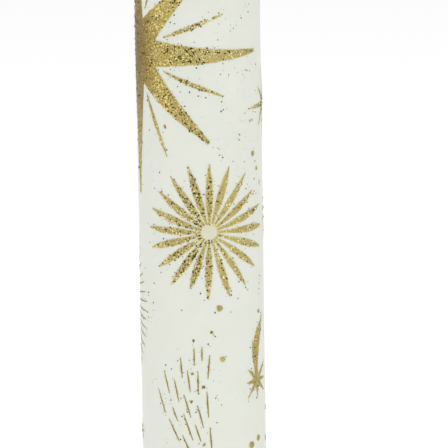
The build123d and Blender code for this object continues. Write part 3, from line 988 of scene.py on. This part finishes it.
# Hexagonal flakes, each a flat closed plate: six corners, a low crown and a base point. Corner =
# middle + size (spin round the plate's own normal), where the normal is the wall's, tilted
def flakeArrays(u, z, lift, size, tilt, rng):
    count = len(u)
    angle = u / wallRadius
    out = np.stack([np.sin(angle), -np.cos(angle), np.zeros(count)], -1)
    side = np.stack([np.cos(angle), np.sin(angle), np.zeros(count)], -1)
    up = np.tile([0.0, 0.0, 1.0], (count, 1))
    lean = np.tan(np.radians(rng.normal(0, tilt, (count, 2))))
    normal = out + side * lean[:, :1] + up * lean[:, 1:]
    normal /= np.linalg.norm(normal, axis=1)[:, None]
    first = np.cross(up, normal)
    first /= np.linalg.norm(first, axis=1)[:, None]
    second = np.cross(normal, first)
    spin = rng.uniform(0, np.pi / 3, count)[:, None] + np.arange(6)[None, :] * np.pi / 3
    arm = size[:, None] / 2
    ring = first[:, None] * (arm * np.cos(spin))[..., None]
    ring += second[:, None] * (arm * np.sin(spin))[..., None]
    # A leaning plate is lifted by half of what its lean drops its edge
    clear = lift + size / 2 * np.sqrt(1 - np.clip((normal * out).sum(1), 0, 1) ** 2) * 0.5
    middle = onWall(u, z, clear)
    ring = ring + middle[:, None]
    crown = middle + normal * flakeLook["dome"]
    foot = middle - normal * flakeLook["dome"]
    points = np.concatenate([ring, crown[:, None], foot[:, None]], 1).reshape(-1, 3)
    k = np.arange(6)
    upper = np.stack([k, (k + 1) % 6, np.full(6, 6)], -1)
    lower = np.stack([(k + 1) % 6, k, np.full(6, 7)], -1)
    faces = (np.concatenate([upper, lower])[None] + 8 * np.arange(count)[:, None, None]).reshape(-1, 3)
    return points, faces


# Tone of each flake: mid gold, with bright and dark flakes, painted glints and painted dark reflections,
# whose shares change round the wall. Where calm is less than 1, in the painted evenly lit zone and the
# great star's painted shade, the tones spread less and fewer flakes stand out
def flakeTones(u, z, accents, rng):
    count = len(u)
    calm = withBands(1 - 0.55 * shadedStarHeart(u, z), paintedLightBands["calm"], u)
    tone = 0.52 + rng.normal(0, 0.13, count) * calm
    bright = accents * calm * withBands(0.07, paintedLightBands["bright"], u)
    dark = accents * calm * withBands(0.025, paintedLightBands["dark"], u)
    tone = np.where(rng.random(count) < bright, rng.uniform(0.8, 1.0, count), tone)
    return np.where(rng.random(count) < dark, rng.uniform(0, 0.15, count), tone)


# A flake piece with a tone for each flake. On its map every flake has one square of a grid, with
# its corners on a hexagon in the square and its crown and foot at the middle
def finishFlakes(name, points, faces, u, z, tones, dull, warm, replaced=()):
    piece = makePiece(name, points, faces, smooth=False)
    addAttribute(piece, "tone", np.repeat(tones, 8))
    addTints(piece, np.repeat(u, 8), np.repeat(z, 8), np.repeat(dull, 8), warm)
    count = len(u)
    across = math.ceil(math.sqrt(count))
    square = np.stack([np.arange(count) % across, np.arange(count) // across], -1) + 0.5
    turn = np.arange(6) * np.pi / 3
    corner = 0.45 * np.concatenate([np.stack([np.cos(turn), np.sin(turn)], -1), np.zeros((2, 2))])
    place = (square[:, None] + corner).reshape(-1, 2) / across
    layer = piece.data.uv_layers.new(name="OFBake")
    layer.data.foreach_set("uv", place[faces.ravel()].astype(np.float32).ravel())
    return dress(piece, flakeFinish, replaced)


# Flakes over a motif: a jittered grid of spots, kept where the field is below the overhang
def coverWithFlakes(name, parts, seed, finish):
    rng = np.random.default_rng(seed)
    gap = flakeLook["spacing"]
    pieces = []
    for (edge, place, reach), dull in zip(parts, np.resize(finish["dull"], len(parts))):
        nx, ny = int(2 * reach[0] / gap), int(2 * reach[1] / gap)
        x, y = np.meshgrid((np.arange(nx) - nx / 2) * gap, (np.arange(ny) - ny / 2) * gap)
        x = x + rng.uniform(-0.5, 0.5, x.shape) * gap
        y = y + rng.uniform(-0.5, 0.5, x.shape) * gap
        f = edge(x, y)
        keep = (f < 0) & (rng.random(x.shape) < finish["cover"])
        u0, z0 = unroll(*place[:2])
        around = u0 + x
        share = withBands(flakeLook["strayShare"], [(flakeLook["strayShareDark"], *flakeLook["strayZone"])],
                          around)
        keep |= (f >= 0) & (f < flakeLook["overhang"]) & (rng.random(x.shape) < share * finish["accents"])
        pieces.append((around[keep], z0 + y[keep], f[keep], np.full(keep.sum(), dull)))
    u, z, f, dull = (np.concatenate(part) for part in zip(*pieces))
    depth = np.clip(-f / transferLook["shoulder"], 0, 1)
    lift = transferLook["thickness"] * depth + 0.01
    tones = flakeTones(u, z, finish["accents"], rng)
    accent = (tones < flakeLook["plainTones"][0]) | (tones > flakeLook["plainTones"][1])
    size = finish["flake"] * rng.uniform(*flakeLook["size"], len(u))
    size *= np.where(accent, flakeLook["accent"], 1)
    lift = lift + flakeLook["accentLift"] * accent
    tilt = np.where(accent, flakeLook["tilt"][1], flakeLook["tilt"][0])
    points, faces = flakeArrays(u, z, lift, size, tilt[:, None], rng)
    print("  %s: %d flakes" % (name, len(u)))
    return finishFlakes(name, points, faces, u, z, tones, dull, finish["warm"])


# One motif: its patches as one piece that replaces the CAD node, and its flakes
def makeTransfer(name, node, field, places, reach, step, seed, changes={}):
    finish = {**plainFinish, **changes}
    patches, parts = [], []
    for k, place in enumerate(places):
        scale = place[2] if len(place) > 2 else 1.0
        span = (reach[0] * scale * artScale, reach[1] * scale * artScale)
        patches.append(patchArrays(field, place, span, step, seed + 7 * k, scale, finish))
        parts.append((patches[-1][3], place, span))
    piece = joinPatches(name, patches, finish)
    dress(piece, sizeFinish, [node])
    coverWithFlakes(name + "_glitter", parts, seed + 100, finish)
    print("%s ready, %d faces" % (name, len(piece.data.polygons)))
    return parts


looseParts = makeTransfer("great_star", "great_star_transfer", greatStarField, [greatStar["place"]],
                          (60, 60), 0.3, 11, {"warm": 1.0})
looseParts += makeTransfer("great_star_rays", "great_star_ray_transfer", greatRayField,
                           [greatStar["place"]], (43, 43), 0.18, 12, {"warm": 0.3, "ragged": 0.2})
for side, place in sunburst["places"].items():
    looseParts += makeTransfer("sunburst_" + side, "sunburst_transfer_" + side,
                               lambda x, y, turn=place[3]: sunburstField(x, y, turn), [place], (29, 29),
                               0.22 if place[2] == 1 else 0.16, 20 + len(side), {"disc": sunburst["hub"]})
for side, place in rayBurst["places"].items():
    looseParts += makeTransfer("ray_burst_" + side, "ray_burst_transfer_" + side, rayBurstField, [place],
                               (39.5, 39.5), 0.13 if place[2] == 1 else 0.08, 30 + len(side), thinFinish)
for side, place in comet["places"].items():
    looseParts += makeTransfer("comet_" + side, "comet_transfer_" + side, cometField, [place],
                               (11, 27), 0.16, 40 + len(side), {"dull": 0.2, "accents": 0.35})
for side, place in fallingStar["places"].items():
    looseParts += makeTransfer("falling_star_" + side, "falling_star_transfer_" + side, fallingStarField,
                               [place], (8.3, 8.3), 0.14, 50 + len(side))
    looseParts += makeTransfer("falling_star_streaks_" + side, "falling_star_streak_transfer_" + side,
                               streakField, [place], (26.5, 70.5), 0.13, 60 + len(side), thinFinish)
for side, (angle, height, size) in sparkle["places"].items():
    looseParts += makeTransfer("sparkle_" + side, "sparkle_transfer_" + side,
                               lambda x, y, size=size: pointedStarField(x, y, sparkle, size),
                               [(angle, height)], (size + 0.5, size + 0.5), 0.14, 70 + len(side))
looseParts += makeTransfer("small_stars", "small_star_transfers",
                           lambda x, y: pointedStarField(x, y, smallStars, 1.0),
                           smallStars["places"], (1.1, 1.1), 0.13, 80)
starAngle, starHeight, _ = fallingStar["places"]["front"]
dotPlaces = dots["places"] + [(starAngle + math.degrees(x * artScale / wallRadius), starHeight + y, radius)
                              for x, y, radius, _ in dots["amongStreaks"]]
dotDulls = [dots["dull"]] * len(dots["places"]) + [dull for *_, dull in dots["amongStreaks"]]
looseParts += makeTransfer("dots", "dot_transfers", lambda x, y: np.hypot(x, y) - 1.0, dotPlaces,
                           (1.3, 1.3), 0.12, 90, {"dull": dotDulls, "cover": 0.4, "flake": 0.8})

# ---- loose glitter ----

looseGlitter = {
    # start angle and height, end angle and height, number of flakes, how far they stray in mm
    "trails": [(17, 235, 22, 214, 10, 2.5), (30, 232, 56, 243, 16, 3.0), (22, 214, 60, 217, 14, 3.0),
               (-12, 200, -6, 198, 5, 0.8), (-9, 210, 8, 206, 5, 1.0), (0, 201, 3, 198, 4, 0.6),
               (19, 190, 20, 181, 16, 1.3), (14, 187, 12, 186, 4, 0.5), (18, 202, 48, 196, 12, 3.0),
               (36, 190, 60, 186, 7, 2.0), (-34, 194, -32, 194, 3, 0.5), (-52, 192, -44, 190, 3, 1.0),
               (44, 176, 50, 168, 20, 1.8), (57, 165, 73, 169, 8, 1.5), (12, 173, 14, 171, 3, 0.5),
               (-56, 178, -45, 174, 4, 1.2), (-34, 137, -32, 136, 2, 0.4), (17, 129, 22, 132, 3, 0.8),
               (64, 122, 70, 132, 8, 1.0), (2, 124, 3, 124, 2, 0.4), (28, 120, 28, 118, 2, 0.4),
               (-19, 120, -19, 120, 1, 0.0), (12, 119, 12, 119, 1, 0.0), (8, 112, 12, 109, 4, 0.5),
               (-2, 107, 9, 105, 5, 0.6), (-23, 104, -22, 104, 2, 0.3), (-39, 97, -28, 95, 3, 0.4),
               (-54, 88, -46, 91, 3, 0.8), (-46, 76, -30, 84, 4, 0.8), (8, 96, 17, 94, 4, 0.6),
               (9, 91, 16, 90, 4, 0.6), (8, 86, 17, 81, 4, 0.8), (-24, 72, -18, 75, 4, 0.8),
               (-38, 64, -36, 66, 3, 0.6), (-60, 110, -52, 120, 6, 2.0), (124, 172, 146, 182, 12, 2.0),
               (100, 112, 112, 130, 12, 2.0), (160, 92, 172, 80, 10, 2.0), (-120, 200, -96, 182, 14, 2.5),
               (130, 262, 160, 276, 10, 2.5), (-20, 20, 20, 14, 10, 3.0)],
    # lowest and highest angle, lowest and highest height, number of fine flakes
    "dust": [(14, 78, 150, 292, 190), (-72, -50, 180, 290, 60), (20, 70, 60, 150, 25),
             (90, 270, 60, 280, 150)],
    "size": (0.26, 0.72),
    "dustSize": (0.16, 0.3),
    "apart": 0.9,
    "nearTries": 1.2,  # for each square millimetre round a motif
    "nearShare": 0.15,  # kept at its edge, less with distance
    "nearStart": 0.15,
    "fade": 1.1,
    "bareEnds": 5.0,  # height left without flakes at the foot and at the top
}


# Loose flakes: along each trail, thinning out with distance from the motifs' edges, and fine dust.
# A flake too near an earlier one is dropped
def makeLooseGlitter(look, parts):
    rng = np.random.default_rng(77)
    us, zs = [], []
    for a0, z0, a1, z1, count, stray in look["trails"]:
        t = rng.random(count)
        u, z = unroll(a0 + t * (a1 - a0), z0 + t * (z1 - z0))
        us.append(u + rng.normal(0, stray / 2, count))
        zs.append(z + rng.normal(0, stray / 2, count))
    for edge, place, reach in parts:
        count = int(reach[0] * reach[1] * 4 * look["nearTries"])
        x, y = rng.uniform(-reach[0], reach[0], count), rng.uniform(-reach[1], reach[1], count)
        f = edge(x, y)
        keep = (f > look["nearStart"]) & (rng.random(count) < look["nearShare"] * np.exp(-f / look["fade"]))
        u, z = unroll(*place[:2])
        us.append(u + x[keep])
        zs.append(z + y[keep])
    coarse = sum(len(u) for u in us)
    for a0, a1, z0, z1, count in look["dust"]:
        u, z = unroll(rng.uniform(a0, a1, count), rng.uniform(z0, z1, count))
        us.append(u)
        zs.append(z)
    u, z = np.concatenate(us), np.concatenate(zs)
    fine = np.arange(len(u)) >= coarse
    grade = rng.random(len(u)) ** 1.6
    size = np.where(fine, rng.uniform(*look["dustSize"], len(u)),
                    look["size"][0] + grade * (look["size"][1] - look["size"][0]))
    tones = np.where(fine, rng.uniform(0.25, 0.7, len(u)), rng.uniform(0.0, 0.5, len(u)) * (1.2 - grade))
    near = np.hypot(u[:, None] - u, z[:, None] - z) < look["apart"]
    crowded = np.any(np.tril(near, -1), axis=1)
    keep = (z > look["bareEnds"]) & (z < candleHeight - look["bareEnds"]) & ~crowded
    u, z, size, tones = u[keep], z[keep], size[keep], tones[keep]
    points, faces = flakeArrays(u, z, np.full(len(u), 0.02), size, 10.0, rng)
    print("loose flakes: %d" % len(u))
    return finishFlakes("loose_glitter", points, faces, u, z, tones, np.zeros(len(u)), 0.0,
                        ["loose_glitter_flakes"])


makeLooseGlitter(looseGlitter, looseParts)

# ---- studio ----

studio = {
    "floorHalf": 14.0,
    "floorDrop": 0.0001,
    "paper": (0.92, 0.92, 0.92),
    "paperGlow": 0.24,
    "roomDark": 0.08,
    "roomLight": 0.98,
    "roomPatches": 2.2,  # scale of its dim and bright areas
    "roomLean": (0.03, -0.3, 0.0),  # the room's brightness is 1 + this . direction
    "lights": {
        "top": {"place": (0, 0.3, 2.2), "size": (2.6, 2.6), "power": 17},
        "front": {"place": (0.5, -2.0, 1.7), "size": (1.2, 1.2), "power": 4.5},
        "right": {"place": (1.7, -0.5, 0.9), "size": (0.12, 0.3), "power": 0.8},
        "left": {"place": (-1.7, -0.3, 0.9), "size": (0.12, 0.3), "power": 0.95},
    },
}


# Floor: a square of paper, a hair below the candle's foot
def makeFloor(setup):
    line = np.linspace(-setup["floorHalf"], setup["floorHalf"], 9) / mm
    x, y = np.meshgrid(line, line)
    points = np.stack([x, y, np.full_like(x, -setup["floorDrop"] / mm)], -1).reshape(-1, 3)
    floor = makePiece("paper_floor", points, gridFaces(9, 9))
    paper = newMaterial("paper", Roughness=0.9, Base_Color=(*setup["paper"], 1),
                        Emission_Color=(1, 1, 1, 1), Emission_Strength=setup["paperGlow"])[0]
    floor.data.materials.append(paper)


def makeLight(name, setup):
    data = bpy.data.lights.new(name, "AREA")
    data.shape = "RECTANGLE"
    data.size, data.size_y = setup["size"]
    data.energy = setup["power"]
    light = addToScene(name, data)
    light.location = setup["place"]
    toCandle = Vector((0, 0, candleHeight * mm / 2)) - light.location
    light.rotation_euler = toCandle.to_track_quat("-Z", "Y").to_euler()


# The room: broad bright and dim areas, so that small bright plates glint and flat wax stays even
def makeRoom(setup):
    world = bpy.data.worlds.new("room")
    world.use_nodes = True
    bpy.context.scene.world = world
    tree = world.node_tree
    background = tree.nodes["Background"]
    direction = addNode(tree, "ShaderNodeTexCoord").outputs["Generated"]
    noise = addNode(tree, "ShaderNodeTexNoise", Scale=setup["roomPatches"], Detail=1.0)
    dot = addNode(tree, "ShaderNodeVectorMath", operation="DOT_PRODUCT")
    dot.inputs[1].default_value = setup["roomLean"]
    lean = addNode(tree, "ShaderNodeMath", operation="ADD")
    lean.inputs[1].default_value = 1.0
    wire(direction, noise, "Vector")
    wire(direction, dot, 0)
    wire(dot.outputs["Value"], lean, 0)
    wire(rampOf(tree, noise.outputs["Fac"], [(0.42, setup["roomDark"]), (0.58, setup["roomLight"])]),
         background, "Color")
    wire(lean.outputs[0], background, "Strength")


makeFloor(studio)
makeRoom(studio)
for name, setup in studio["lights"].items():
    makeLight(name, setup)
bpy.context.scene.view_settings.view_transform = "Standard"
print("studio ready")
